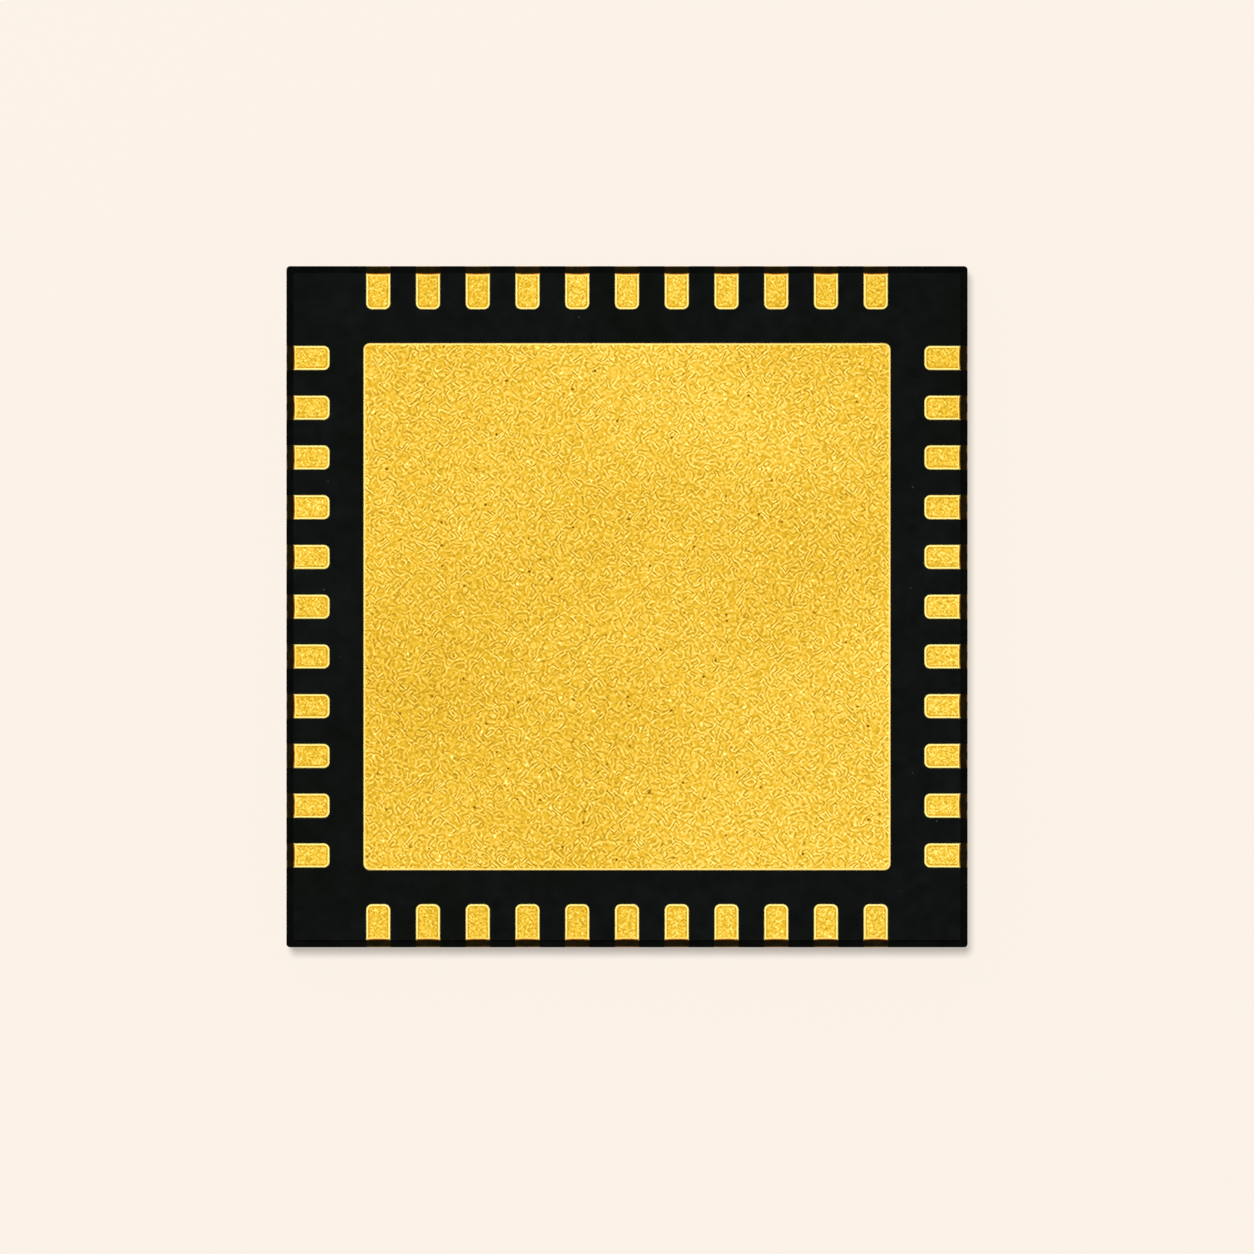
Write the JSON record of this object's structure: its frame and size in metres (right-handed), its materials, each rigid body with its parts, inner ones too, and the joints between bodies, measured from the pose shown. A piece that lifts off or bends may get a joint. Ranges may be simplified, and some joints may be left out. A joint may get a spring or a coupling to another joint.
{
  "type": "power amplifier chip",
  "caption": "Square no-lead amplifier package in black mould compound, with a gold thermal pad and rows of gold lead pads on its solder face, and its die and bond wires inside.",
  "frame": {"origin": "centre of the moulded face that the chip lies on", "axes": "+Z out of the solder face, +X towards the leads 01 to 11, +Y towards the leads 34 to 44"},
  "size_m": [0.0068, 0.0068, 0.0009],
  "materials": {
    "mould_compound": "satin",
    "gold_plated_copper": "satin",
    "die_bond": "matte",
    "semiconductor": "polished",
    "gold_wire": "polished"
  },
  "bodies": {
    "root": {"mould_body": "mould_compound", "die_paddle": "gold_plated_copper", "die_attach": "die_bond", "amplifier_die": "semiconductor", "bond_wires": "gold_wire", "lead_01": "gold_plated_copper", "lead_02": "gold_plated_copper", "lead_03": "gold_plated_copper", "lead_04": "gold_plated_copper", "lead_05": "gold_plated_copper", "lead_06": "gold_plated_copper", "lead_07": "gold_plated_copper", "lead_08": "gold_plated_copper", "lead_09": "gold_plated_copper", "lead_10": "gold_plated_copper", "lead_11": "gold_plated_copper", "lead_12": "gold_plated_copper", "lead_13": "gold_plated_copper", "lead_14": "gold_plated_copper", "lead_15": "gold_plated_copper", "lead_16": "gold_plated_copper", "lead_17": "gold_plated_copper", "lead_18": "gold_plated_copper", "lead_19": "gold_plated_copper", "lead_20": "gold_plated_copper", "lead_21": "gold_plated_copper", "lead_22": "gold_plated_copper", "lead_23": "gold_plated_copper", "lead_24": "gold_plated_copper", "lead_25": "gold_plated_copper", "lead_26": "gold_plated_copper", "lead_27": "gold_plated_copper", "lead_28": "gold_plated_copper", "lead_29": "gold_plated_copper", "lead_30": "gold_plated_copper", "lead_31": "gold_plated_copper", "lead_32": "gold_plated_copper", "lead_33": "gold_plated_copper", "lead_34": "gold_plated_copper", "lead_35": "gold_plated_copper", "lead_36": "gold_plated_copper", "lead_37": "gold_plated_copper", "lead_38": "gold_plated_copper", "lead_39": "gold_plated_copper", "lead_40": "gold_plated_copper", "lead_41": "gold_plated_copper", "lead_42": "gold_plated_copper", "lead_43": "gold_plated_copper", "lead_44": "gold_plated_copper"}
  },
  "joints": []
}
